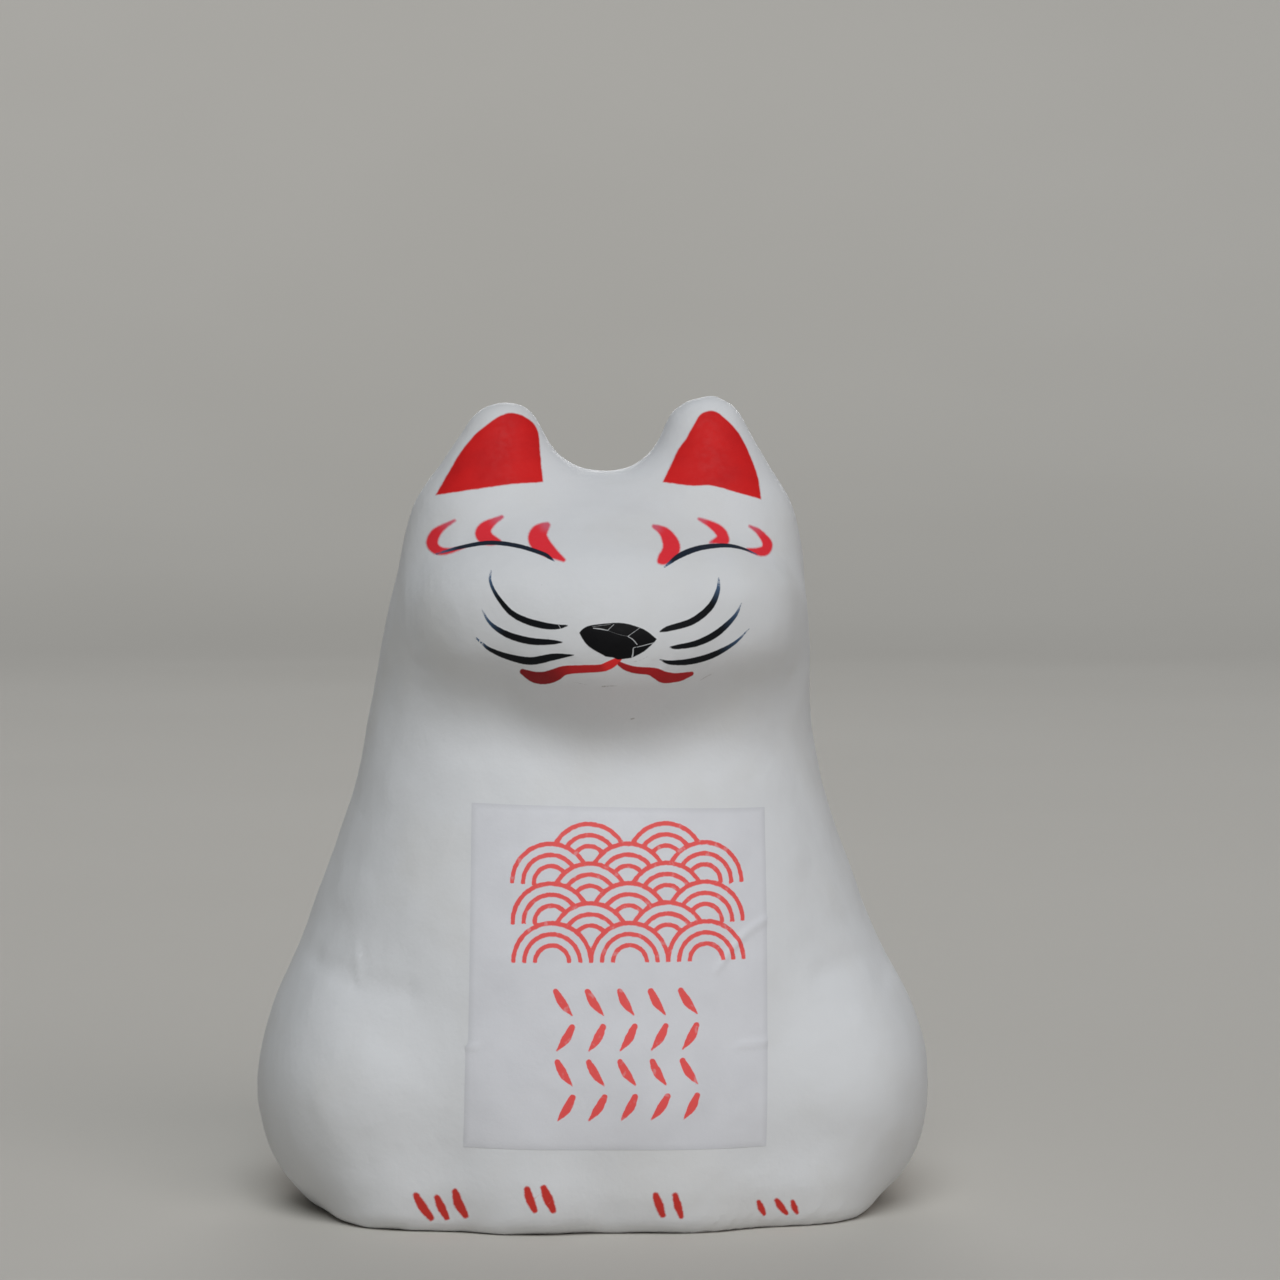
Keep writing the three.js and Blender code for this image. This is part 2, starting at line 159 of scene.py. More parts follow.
# Folds above the haunches and a short ridge with small pits on the left flank
FOLDS = (
    ((-38.5, 34.6, 0.1), (-36.2, 34.2, 0.3), (-33.4, 32.7, 0.5), (-30.2, 32.3, 0.4), (-27.0, 32.0, 0.1)),
    ((39.5, 32.6, 0.1), (37.0, 34.4, 0.3), (33.5, 34.8, 0.3), (30.0, 34.0, 0.1)),
)
FOLD_DEPTH = 0.32
FOLD_WIDTH = 1.6
RIDGE = ((-33.4, 37.6, 0.05), (-33.4, 35.0, 0.1), (-33.4, 33.2, 0.05))
RIDGE_HEIGHT = 0.09
PITS = ((-32.6, 36.7, 0.3), (-32.1, 35.4, 0.3), (-33.7, 32.6, 0.7), (-32.8, 54.6, 0.35))
PIT_DEPTH = 0.16

# Painted patches: each outline is a chain of curves that meet in corners
EARS = (
    (((-22.3, 99.1), (-20.3, 102.6), (-18.6, 105.3), (-16.8, 107.5), (-15.1, 108.9), (-13.5, 110.0),
      (-11.6, 110.6), (-9.3, 109.8), (-7.9, 108.1), (-7.7, 104.7), (-7.5, 100.9)),
     ((-7.5, 100.9), (-12.1, 100.6), (-16.3, 100.0), (-22.3, 99.1))),
    (((9.2, 100.9), (10.6, 103.5), (11.5, 105.3), (12.7, 107.0), (13.8, 108.9), (14.7, 110.3), (15.7, 110.8),
      (17.0, 110.8), (18.8, 109.4), (20.1, 107.9), (21.2, 105.9), (22.1, 103.6), (22.7, 101.4), (22.9, 98.5)),
     ((22.9, 98.5), (20.0, 99.3), (15.9, 100.4), (13.1, 100.4), (9.2, 100.9))),
)
NOSE = (
    (((-3.7, 80.7), (-3.1, 81.3), (-2.0, 81.7), (0.9, 82.0), (2.6, 81.9), (4.3, 81.4), (5.5, 80.8), (6.7, 79.8)),
     ((6.7, 79.8), (6.4, 79.4), (5.2, 78.3), (4.0, 77.6), (3.4, 77.3)),
     ((3.4, 77.3), (2.2, 77.15), (1.4, 77.1), (0.8, 77.35), (-0.2, 77.5)),
     ((-0.2, 77.5), (-0.9, 77.9), (-2.4, 78.8), (-3.3, 79.9), (-3.7, 80.7))),
)

# Pasted label, in mm
LABEL_CORNERS = ((-19.4, 12.0), (21.4, 11.5), (-18.2, 57.3), (22.4, 56.3))
LABEL_CELLS = (82, 92)
LABEL_GAP = 0.015
LABEL_THICKNESS = 0.06
RIM_WIDTH = 1.4
RIM_DEPTH = 0.02
LABEL_NOTCH = (25.3, 0.35)
LABEL_CREASES = (
    ((22.1, 41.6, 0.1), (19.1, 39.9, 0.1), (17.0, 37.8, 0.08), (15.0, 35.3, 0.05)),
    ((17.6, 25.1, 0.02), (19.4, 25.2, 0.06), (21.6, 25.4, 0.1)),
    ((-19.6, 25.5, 0.15), (-18.6, 25.3, 0.05), (-17.6, 25.3, 0.02)),
)
CREASE_HEIGHT = 0.16
CREASE_WIDTH = 0.4
PRINT_BAND = 0.35
PRINT_EDGE = 0.26


# Curves in the plane of the picture
def curve_points(stroke):
    """A smooth run of points through the given ones."""
    given = np.array(stroke, float)
    if len(given) == 2:
        share = np.linspace(0.0, 1.0, CURVE_STEPS + 1)[:, None]
        return given[0] * (1.0 - share) + given[1] * share
    padded = np.vstack((2 * given[0] - given[1], given, 2 * given[-1] - given[-2]))
    share = np.linspace(0.0, 1.0, CURVE_STEPS, endpoint=False)[:, None]
    runs = []
    for start in range(len(given) - 1):
        a, b, c, d = padded[start:start + 4]
        runs.append(0.5 * (2 * b + (c - a) * share + (2 * a - 5 * b + 4 * c - d) * share ** 2
                           + (3 * b - a - 3 * c + d) * share ** 3))
    return np.vstack(runs + [given[-1:]])


def segment_distance(places, line):
    """Distance from each place to each piece of a line, and how far along the piece the nearest point is."""
    start, step = line[:-1, :2], line[1:, :2] - line[:-1, :2]
    away = places[:, None, :] - start[None]
    along = (away * step).sum(2) / np.maximum((step ** 2).sum(1), 1e-12)
    along = np.clip(along, 0.0, 1.0)
    return np.linalg.norm(away - along[..., None] * step, axis=2), along


def near(places, line, reach):
    low = line[:, :2].min(0) - reach
    high = line[:, :2].max(0) + reach
    return np.where(((places > low) & (places < high)).all(1))[0]


def stroke_distance(places, stroke):
    """Signed distance to a tapered stroke, negative inside, and the share of its length at the nearest point."""
    line = curve_points(stroke)
    result = np.full(len(places), FAR)
    share = np.zeros(len(places))
    chosen = near(places, line, FAR)
    if len(chosen):
        distance, along = segment_distance(places[chosen], line)
        width = line[:-1, 2] + along * (line[1:, 2] - line[:-1, 2])
        signed = distance - width
        nearest = signed.argmin(1)
        rows = np.arange(len(chosen))
        result[chosen] = np.minimum(signed[rows, nearest], FAR)
        share[chosen] = (nearest + along[rows, nearest]) / (len(line) - 1)
    return result, share


def patch_distance(places, curves):
    """Signed distance to a closed outline, negative inside."""
    line = np.vstack([curve_points(curve) for curve in curves])
    result = np.full(len(places), FAR)
    chosen = near(places, line, FAR)
    if len(chosen):
        spots = places[chosen]
        distance = segment_distance(spots, line)[0].min(1)
        ends = np.roll(line, -1, axis=0)
        x, z = spots[:, :1], spots[:, 1:]
        crosses = (line[:, 1] > z) != (ends[:, 1] > z)
        rise = np.where(np.abs(ends[:, 1] - line[:, 1]) < 1e-9, 1e-9, ends[:, 1] - line[:, 1])
        cut = line[:, 0] + (z - line[:, 1]) / rise * (ends[:, 0] - line[:, 0])
        inside = ((crosses & (x < cut)).sum(1) % 2) == 1
        result[chosen] = np.minimum(np.where(inside, -distance, distance), FAR)
    return result


def nearest_of(places, strokes):
    """The smallest signed distance to several strokes, with the share along the nearest one."""
    best = np.full(len(places), FAR)
    share = np.zeros(len(places))
    for stroke in strokes:
        distance, along = stroke_distance(places, stroke)
        closer = distance < best
        best[closer] = distance[closer]
        share[closer] = along[closer]
    return best, share


def nearest_patch(places, patches):
    return np.min([patch_distance(places, patch) for patch in patches], axis=0)


# Triangle meshes as arrays, in mm
def mesh_arrays(mesh):
    mesh.calc_loop_triangles()
    points = np.empty(len(mesh.vertices) * 3)
    mesh.vertices.foreach_get("co", points)
    faces = np.empty(len(mesh.loop_triangles) * 3, np.int32)
    mesh.loop_triangles.foreach_get("vertices", faces)
    return points.reshape(-1, 3) / MM, faces.reshape(-1, 3).astype(np.int64)


def edge_table(faces, count):
    """Every edge once, and for each face the numbers of its three edges."""
    pairs = np.stack((faces, np.roll(faces, -1, axis=1)), axis=2).reshape(-1, 2)
    pairs.sort(axis=1)
    keys, place = np.unique(pairs[:, 0] * count + pairs[:, 1], return_inverse=True)
    return np.stack((keys // count, keys % count), axis=1), place.reshape(-1, 3)


def vertex_normals(points, faces):
    a, b, c = points[faces[:, 0]], points[faces[:, 1]], points[faces[:, 2]]
    flat = np.cross(b - a, c - a)
    total = np.stack([sum(np.bincount(faces[:, k], flat[:, axis], len(points)) for k in range(3))
                      for axis in range(3)], axis=1)
    return total / np.maximum(np.linalg.norm(total, axis=1, keepdims=True), 1e-12)


def relaxed(points, faces, rounds):
    """Evens out the small steps of the mesh; the flat underside stays flat."""
    edges = edge_table(faces, len(points))[0]
    count = np.bincount(edges.ravel(), minlength=len(points))[:, None]
    points = points.copy()
    for _ in range(rounds):
        total = np.stack([np.bincount(edges[:, 0], points[edges[:, 1], axis], len(points))
                          + np.bincount(edges[:, 1], points[edges[:, 0], axis], len(points))
                          for axis in range(3)], axis=1)
        points += 0.5 * (total / count - points)
    return points


def refined(points, faces, wanted):
    """Cuts the edges that are longer than wanted in half, with the new points on the curved surface."""
    normals = vertex_normals(points, faces)
    edges, edge_of = edge_table(faces, len(points))
    a, b = points[edges[:, 0]], points[edges[:, 1]]
    rise_a = ((b - a) * normals[edges[:, 0]]).sum(1, keepdims=True) * normals[edges[:, 0]]
    rise_b = ((a - b) * normals[edges[:, 1]]).sum(1, keepdims=True) * normals[edges[:, 1]]
    middle = (a + b) / 2 - (rise_a + rise_b) / 8
    cut = np.linalg.norm(b - a, axis=1) > wanted(middle)
    number = np.full(len(edges), -1)
    number[cut] = len(points) + np.arange(cut.sum())
    points = np.vstack((points, middle[cut]))
    middles = number[edge_of]
    has = middles >= 0
    cuts = has.sum(1)
    made = [faces[cuts == 0]]
    for turn in range(3):
        corner = np.roll(faces, -turn, axis=1)
        mid = np.roll(middles, -turn, axis=1)
        flag = np.roll(has, -turn, axis=1)
        one = (cuts == 1) & flag[:, 0]
        p, m = corner[one], mid[one]
        made += [np.stack((p[:, 0], m[:, 0], p[:, 2]), 1), np.stack((m[:, 0], p[:, 1], p[:, 2]), 1)]
        two = (cuts == 2) & flag[:, 0] & flag[:, 1]
        p, m = corner[two], mid[two]
        made += [np.stack((m[:, 0], p[:, 1], m[:, 1]), 1), np.stack((p[:, 0], m[:, 0], m[:, 1]), 1),
                 np.stack((p[:, 0], m[:, 1], p[:, 2]), 1)]
    every = cuts == 3
    p, m = faces[every], middles[every]
    made += [m, np.stack((p[:, 0], m[:, 0], m[:, 2]), 1), np.stack((m[:, 0], p[:, 1], m[:, 1]), 1),
             np.stack((m[:, 1], p[:, 2], m[:, 2]), 1)]
    return points, np.vstack(made)


def mesh_object(name, points, faces, values):
    """A smooth-shaded object from arrays in mm, with one value per point for each named attribute."""
    mesh = bpy.data.meshes.new(name)
    mesh.from_pydata((points * MM).tolist(), [], faces.tolist())
    mesh.polygons.foreach_set("use_smooth", np.ones(len(mesh.polygons), bool))
    for title, value in values.items():
        attribute = mesh.attributes.new(title, "FLOAT", "POINT")
        attribute.data.foreach_set("value", np.asarray(value, np.float32))
    mesh.validate()
    made = bpy.data.objects.new(name, mesh)
    bpy.context.scene.collection.objects.link(made)
    return made


def restored(points, faces, marks):
    """Moves the smoothed surface back out to the marks, the places that it has to pass through."""
    marks_tree = KDTree(len(marks))
    for number, mark in enumerate(marks):
        marks_tree.insert(mark, number)
    marks_tree.balance()
    near_marks = [marks_tree.find_n(point, MARKS_PER_POINT) for point in points]
    chosen = np.array([[mark[1] for mark in found] for found in near_marks])
    away = np.array([[mark[2] for mark in found] for found in near_marks])
    weight = np.exp(-(away / MARK_REACH) ** 2) + 1e-9
    weight /= weight.sum(1, keepdims=True)
    for _ in range(RESTORE_ROUNDS):
        tree = BVHTree.FromPolygons(points.tolist(), faces.tolist())
        gaps = []
        for mark in marks:
            spot, normal, _, _ = tree.find_nearest(mark)
            gaps.append((mark - spot).dot(normal))
        gaps = np.clip(gaps, -MARK_LIMIT, MARK_LIMIT)
        shift = (gaps[chosen] * weight).sum(1, keepdims=True)
        points = points + vertex_normals(points, faces) * shift
    return points


# Body
def rounded_body():
    """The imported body, rounded and remeshed evenly."""
    rough = bpy.data.objects.new("rough_body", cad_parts["fox_figure"].data.copy())
    bpy.context.scene.collection.objects.link(rough)
    work = bmesh.new()
    work.from_mesh(rough.data)
    bmesh.ops.remove_doubles(work, verts=work.verts, dist=WELD * MM)
    bmesh.ops.join_triangles(work, faces=work.faces, angle_face_threshold=math.radians(40),
                             angle_shape_threshold=math.radians(60))
    marks = [vertex.co / MM for vertex in work.verts]
    work.to_mesh(rough.data)
    work.free()
    subdivide = rough.modifiers.new("subdivide", "SUBSURF")
    subdivide.levels = 2
    remesh = rough.modifiers.new("remesh", "REMESH")
    remesh.mode = "VOXEL"
    remesh.voxel_size = VOXEL * MM
    remesh.adaptivity = 0.0
    even = bpy.data.meshes.new_from_object(rough.evaluated_get(bpy.context.evaluated_depsgraph_get()))
    points, faces = mesh_arrays(even)
    bpy.data.objects.remove(rough)
    points = restored(relaxed(points, faces, SMOOTHING_ROUNDS), faces, marks)
    return relaxed(points, faces, LAST_ROUNDS), faces


def front_places(points):
    """The points seen from the front as x and z; those of the back go far away."""
    places = points[:, [0, 2]].copy()
    places[points[:, 1] > FRONT_LIMIT] = 1e4
    return places


def paint_edge_distance(points):
    places = front_places(points)
    every = BROWS + MOUTH + EYES + WHISKERS + CLAWS + MARKS
    strokes = np.abs(nearest_of(places, every)[0])
    patches = np.abs(nearest_patch(places, EARS + NOSE))
    return np.minimum(strokes, patches)


def wanted_edge(points):
    wanted = np.where(paint_edge_distance(points) < PAINT_BAND, EDGE_FINE, EDGE_COARSE)
    crack = nearest_of(front_places(points), CRACKS)[0]
    return np.minimum(wanted, EDGE_CRACK + CRACK_GRADE * np.clip(crack, 0.0, FAR))


def unevenness(points):
    """Gentle hand-made lumps, in mm."""
    total = np.zeros(len(points))
    for size, height in LUMPS:
        total += height * np.array([noise.noise(Vector(p / size)) for p in points])
    return total * np.clip(points[:, 2] / BASE_FADE, 0.0, 1.0)


def flank_relief(points):
    """Soft folds above the haunches, and the ridge and pits of the left flank, in mm."""
    places = front_places(points)
    fold = np.clip(nearest_of(places, FOLDS)[0], 0.0, FAR) / FOLD_WIDTH
    ridge = np.clip(stroke_distance(places, RIDGE)[0], 0.0, FAR) / 0.35
    height = RIDGE_HEIGHT * np.exp(-ridge ** 2) - FOLD_DEPTH * np.exp(-fold ** 2)
    for x, z, radius in PITS:
        away = np.hypot(places[:, 0] - x, places[:, 1] - z) / radius
        height -= PIT_DEPTH * np.exp(-away ** 2)
    return height


def mouth_paint(places):
    """Signed distance to the mouth, and how deep its red is."""
    best = np.full(len(places), FAR)
    deep = np.zeros(len(places))
    for stroke, (shares, depths) in zip(MOUTH, MOUTH_DEPTHS):
        distance, share = stroke_distance(places, stroke)
        closer = distance < best
        best[closer] = distance[closer]
        deep[closer] = np.interp(share[closer], shares, depths)
    return best, deep


def body_paint(points):
    """Signed distances to the painted areas, for the body's material."""
    places = front_places(points)
    ear = nearest_patch(places, EARS)
    brow, brow_share = nearest_of(places, BROWS)
    mouth, mouth_deep = mouth_paint(places)
    eye, eye_share = nearest_of(places, EYES)
    whisker, whisker_share = nearest_of(places, WHISKERS)
    claw = nearest_of(places, CLAWS)[0]
    eye_thin = np.clip(1.0 - eye_share / 0.18, 0.0, 1.0) + np.clip((eye_share - 0.86) / 0.14, 0.0, 1.0)
    whisker_thin = np.clip(1.0 - whisker_share / WHISKER_THIN, 0.0, 1.0)
    dry_away, dry_share = stroke_distance(places, WHISKERS[DRY_WHISKER])
    dry = np.where(dry_away < PAINT_BAND, np.clip(1.0 - dry_share / DRY_SHARE, 0.0, 1.0) * 3.0, 0.0)
    return {
        "ear_red": ear,
        "brow_red": brow,
        "brow_tip": np.clip(1.0 - brow_share / BROW_TIP, 0.0, 1.0),
        "mouth_red": mouth,
        "mouth_deep": mouth_deep,
        "black_line": np.minimum(eye, whisker),
        "thin_paint": np.where(eye < whisker, np.maximum(eye_thin, EYE_THIN), whisker_thin),
        "dry_paint": np.clip(dry, 0.0, 1.0),
        "claw_line": claw,
        "nose_black": nearest_patch(places, NOSE),
        "nose_crack": nearest_of(places, CRACKS)[0],
        "dark_mark": nearest_of(places, MARKS)[0],
    }


def fox_body():
    points, faces = rounded_body()
    for _ in range(REFINE_ROUNDS):
        points, faces = refined(points, faces, wanted_edge)
    shift = unevenness(points) + flank_relief(points)
    points = points + vertex_normals(points, faces) * shift[:, None]
    points[:, 2] = np.maximum(points[:, 2], 0.0)
    body = mesh_object("fox_body", points, faces, body_paint(points))
    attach(body, "root")
    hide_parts("fox_figure")
    return body, points, faces


# Shader helpers
class Nodes:
    """Short calls that add and link nodes of one material."""

    def __init__(self, name):
        self.material = bpy.data.materials.new(name)
        self.material.use_nodes = True
        self.tree = self.material.node_tree
        self.shader = self.tree.nodes["Principled BSDF"]

    def add(self, kind, links=None, **settings):
        made = self.tree.nodes.new(kind)
        for key, value in settings.items():
            setattr(made, key, value)
        for key, value in (links or {}).items():
            self.feed(made.inputs[key], value)
        return made

    def feed(self, socket, value):
        if isinstance(value, bpy.types.NodeSocket):
            self.tree.links.new(value, socket)
        else:
            socket.default_value = value

    def attribute(self, name):
        return self.add("ShaderNodeAttribute", attribute_name=name).outputs["Fac"]

    def math(self, operation, first, second=0.0):
        return self.add("ShaderNodeMath", {0: first, 1: second}, operation=operation).outputs[0]

    def noise(self, size, detail=2.0, roughness=0.5):
        """Noise with features of about the given size in mm, as a value from 0 to 1."""
        place = self.add("ShaderNodeTexCoord").outputs["Object"]
        links = {"Vector": place, "Scale": 1.0 / (size * MM), "Detail": detail, "Roughness": roughness}
        return self.add("ShaderNodeTexNoise", links).outputs["Fac"]

    def ramp(self, value, low, high, start=0.0, end=1.0):
        links = {"Value": value, "From Min": low, "From Max": high, "To Min": start, "To Max": end}
        return self.add("ShaderNodeMapRange", links, interpolation_type="SMOOTHSTEP").outputs[0]

    def mix(self, share, first, second):
        made = self.add("ShaderNodeMix", data_type="RGBA")
        self.feed(made.inputs[0], share)
        self.feed(made.inputs[6], first)
        self.feed(made.inputs[7], second)
        return made.outputs[2]

    def blend(self, share, first, second):
        made = self.add("ShaderNodeMix", data_type="FLOAT")
        self.feed(made.inputs[0], share)
        self.feed(made.inputs[2], first)
        self.feed(made.inputs[3], second)
        return made.outputs[0]

    def mask(self, distance, softness, wobble=0.0, size=0.5):
        """One inside a painted edge and nought outside it, with a slightly ragged brush edge."""
        if wobble:
            shift = self.math("MULTIPLY", self.math("SUBTRACT", self.noise(size), 0.5), wobble)
            distance = self.math("ADD", distance, shift)
        return self.ramp(distance, softness, -softness)

    def bump(self, height, distance, strength=1.0):
        links = {"Height": height, "Distance": distance * MM, "Strength": strength}
        return self.add("ShaderNodeBump", links).outputs["Normal"]


WHITE = (0.79, 0.80, 0.815, 1.0)
WHITE_WARM = (0.74, 0.735, 0.72, 1.0)
EAR_RED = (0.76, 0.016, 0.016, 1.0)
EAR_RED_DEEP = (0.56, 0.012, 0.015, 1.0)
BROW_RED = (0.90, 0.036, 0.052, 1.0)
BROW_PALE = (0.74, 0.13, 0.19, 1.0)
MOUTH_RED = (0.88, 0.033, 0.035, 1.0)
MOUTH_DEEP = (0.29, 0.0145, 0.0175, 1.0)
INK = (0.004, 0.005, 0.007, 1.0)
INK_THIN = (0.075, 0.14, 0.25, 1.0)
NOSE_BLACK = (0.002, 0.002, 0.003, 1.0)
CRACK_PALE = (0.50, 0.51, 0.52, 1.0)
CLAW_RED = (0.66, 0.045, 0.035, 1.0)
MARK_BROWN = (0.22, 0.19, 0.16, 1.0)


def painted_material():
    n = Nodes("painted_paper")
    broad = n.noise(14.0, 3.0)
    fine = n.noise(0.9, 3.0)
    ground = n.mix(n.ramp(broad, 0.45, 0.75, 0.0, 0.45), WHITE, WHITE_WARM)
    streak = n.noise(5.0, 2.0)
    brow_edge = n.attribute("brow_red")
    pale = n.math("MAXIMUM", n.ramp(brow_edge, -0.2, 0.05, 0.0, 0.5), n.ramp(n.attribute("brow_tip"), 0.2, 0.9))
    brow = n.mix(pale, BROW_RED, BROW_PALE)
    colour = n.mix(n.mask(brow_edge, BROW_SOFT, 0.12), ground, brow)
    ear_edge = n.attribute("ear_red")
    ear = n.mix(n.ramp(streak, 0.3, 0.85, 0.0, 0.6), EAR_RED, EAR_RED_DEEP)
    colour = n.mix(n.mask(ear_edge, 0.14, 0.16, 0.9), colour, ear)
    mouth_edge = n.attribute("mouth_red")
    mouth = n.mix(n.attribute("mouth_deep"), MOUTH_RED, MOUTH_DEEP)
    colour = n.mix(n.mask(mouth_edge, 0.08, 0.08), colour, mouth)
    line_edge = n.attribute("black_line")
    thin = n.attribute("thin_paint")
    ink = n.mix(n.ramp(thin, 0.0, 0.9), INK, INK_THIN)
    dry_share = n.math("MAXIMUM", n.ramp(thin, 0.55, 1.0, 0.0, 0.6), n.attribute("dry_paint"))
    dry = n.math("MULTIPLY", n.ramp(n.noise(0.35), 0.42, 0.56), dry_share)
    line = n.math("MULTIPLY", n.mask(line_edge, 0.07, 0.07), n.math("SUBTRACT", 1.0, dry))
    colour = n.mix(line, colour, ink)
    claw = n.mask(n.attribute("claw_line"), 0.16, 0.25)
    colour = n.mix(claw, colour, CLAW_RED)
    nose_edge = n.attribute("nose_black")
    nose = n.mask(nose_edge, 0.07, 0.1, 0.7)
    colour = n.mix(nose, colour, NOSE_BLACK)
    black = n.math("MAXIMUM", nose, line)
    crack = n.math("MULTIPLY", n.mask(n.attribute("nose_crack"), 0.03, 0.05, 0.3), black)
    colour = n.mix(crack, colour, CRACK_PALE)
    mark = n.mask(n.attribute("dark_mark"), 0.06, 0.06, 0.3)
    colour = n.mix(n.math("MULTIPLY", mark, 0.55), colour, MARK_BROWN)
    n.feed(n.shader.inputs["Base Color"], colour)
    rough = n.blend(black, n.ramp(fine, 0.3, 0.7, 0.55, 0.7), 0.5)
    n.feed(n.shader.inputs["Roughness"], rough)
    n.shader.inputs["Specular IOR Level"].default_value = 0.18
    paint = n.math("MAXIMUM", n.mask(ear_edge, 0.2), n.mask(brow_edge, 0.2))
    paint = n.math("MAXIMUM", paint, n.math("MAXIMUM", n.mask(mouth_edge, 0.2), line))
    height = n.math("ADD", n.math("MULTIPLY", fine, 0.35), n.math("MULTIPLY", n.noise(3.2, 3.0), 0.65))
    height = n.math("ADD", height, n.math("MULTIPLY", n.math("MAXIMUM", paint, nose), 0.35))
    height = n.math("SUBTRACT", height, n.math("MULTIPLY", crack, 0.8))
    n.feed(n.shader.inputs["Normal"], n.bump(height, 0.09))
    return n.material


# Pasted label
def label_place(across, up):
    """Front view place for a share of the width and of the height."""
    low_left, low_right, top_left, top_right = (np.array(corner) for corner in LABEL_CORNERS)
    low = low_left + (low_right - low_left) * across
    top = top_left + (top_right - top_left) * across
    place = low + (top - low) * up
    height, step = LABEL_NOTCH
    place[0] += step * (1.0 - across) ** 8 * (1.0 if place[1] > height else 0.0)
    return place


WAVE_RADIUS = 5.2
WAVE_RINGS = (1.0, 0.72, 0.44)
WAVE_LINE = 0.3
WAVE_LEFT = -7.4
WAVE_ROWS = ((49.4, 2), (46.8, 3), (44.2, 2), (41.6, 3), (39.0, 2), (36.4, 3))
TICK_FIELD = ((-8.0, 15.0), (13.0, 33.4))
TICK_ROWS = 4
TICKS_ACROSS = 5
TICK_REACH = (1.0, 1.55)


def wave_print(places):
    """Overlapping wave fans: each lower row covers the one above it."""
    best = np.full(len(places), FAR)
    for level, fans in WAVE_ROWS:
        first = WAVE_LEFT + WAVE_RADIUS * (3 - fans)
        for fan in range(fans):
            away = np.hypot(places[:, 0] - first - 2 * WAVE_RADIUS * fan, places[:, 1] - level)
            rings = np.min([np.abs(away - WAVE_RADIUS * ring) - WAVE_LINE for ring in WAVE_RINGS], axis=0)
            upper = places[:, 1] > level - 0.2
            best = np.where(upper & (away < WAVE_RADIUS), rings, np.where(upper, np.minimum(best, rings), best))
    below = WAVE_ROWS[-1][0] - places[:, 1]
    return np.maximum(best, below)


def tick_strokes():
    """Rows of short slanted brush ticks."""
    low, high = TICK_FIELD
    strokes = []
    for row in range(TICK_ROWS):
        z = low[1] + (high[1] - low[1]) * (row + 0.5) / TICK_ROWS
        for column in range(TICKS_ACROSS):
            x = low[0] + (high[0] - low[0]) * (column + 0.5) / TICKS_ACROSS
            side = 1.0 if row % 2 else -1.0
            lean = side * (TICK_REACH[0] + 0.25 * noise.noise(Vector((row * 1.7, column * 2.3, 0.5))))
            strokes.append(((x - lean, z + TICK_REACH[1], 0.4), (x - 0.2 * side, z, 0.57),
                            (x + lean, z - TICK_REACH[1], 0.1)))
    return tuple(strokes)


def label_lift(points, inset):
    """Height of the paper's back above the body, in mm: flat at the rim, with wrinkles and a diagonal crease."""
    places = points[:, [0, 2]]
    crease = np.clip(nearest_of(places, LABEL_CREASES)[0], 0.0, FAR)
    height = CREASE_HEIGHT * np.exp(-(crease / CREASE_WIDTH) ** 2)
    soft = [noise.noise(Vector((x / 9.0, z / 13.0, 3.1))) for x, z in places]
    fine = [noise.noise(Vector((x / 3.0, z / 2.4, 7.7))) for x, z in places]
    wrinkled = LABEL_GAP + 0.08 * np.clip(soft, 0, 1) + 0.02 * np.clip(fine, 0, 1)
    return height + wrinkled * inset - RIM_DEPTH * (1.0 - inset)


def label_edge(points):
    places = points[:, [0, 2]]
    return np.minimum(wave_print(places), nearest_of(places, tick_strokes())[0])


def label_wanted(points):
    return np.where(np.abs(label_edge(points)) < PRINT_BAND, PRINT_EDGE, EDGE_COARSE)


def label_front(points, faces):
    """The label's front as an open sheet laid on the body, and the directions that it faces."""
    across, up = LABEL_CELLS
    places = np.array([label_place(i / across, j / up) for j in range(up + 1) for i in range(across + 1)])
    number = np.arange(len(places)).reshape(up + 1, across + 1)
    a, b, c, d = number[:-1, :-1].ravel(), number[:-1, 1:].ravel(), number[1:, 1:].ravel(), number[1:, :-1].ravel()
    flat = np.stack((places[:, 0], np.zeros(len(places)), places[:, 1]), axis=1)
    made = np.vstack((np.stack((a, b, c), 1), np.stack((a, c, d), 1)))
    for _ in range(2):
        flat, made = refined(flat, made, label_wanted)
    tree = BVHTree.FromPolygons(points.tolist(), faces.tolist())
    spots, facing = [], []
    for x, _, z in flat:
        spot, normal, _, _ = tree.ray_cast(Vector((x, -80.0, z)), Vector((0.0, 1.0, 0.0)))
        spots.append(list(spot))
        facing.append(list(normal))
    return np.array(spots), np.array(facing), made


def rim_edges(faces):
    """The open edges of a sheet, in the direction of their faces."""
    pairs = np.stack((faces, np.roll(faces, -1, axis=1)), axis=2).reshape(-1, 2)
    known = {tuple(pair) for pair in pairs}
    return np.array([pair for pair in known if (pair[1], pair[0]) not in known])


def sharpen(mesh, pairs):
    """Marks the edges between the given pairs of points as sharp."""
    ends = np.zeros(2 * len(mesh.edges), int)
    mesh.edges.foreach_get("vertices", ends)
    wanted = {tuple(pair) for pair in np.sort(pairs, axis=1)}
    sharp = [tuple(pair) in wanted for pair in np.sort(ends.reshape(-1, 2), axis=1)]
    mesh.edges.foreach_set("use_edge_sharp", sharp)


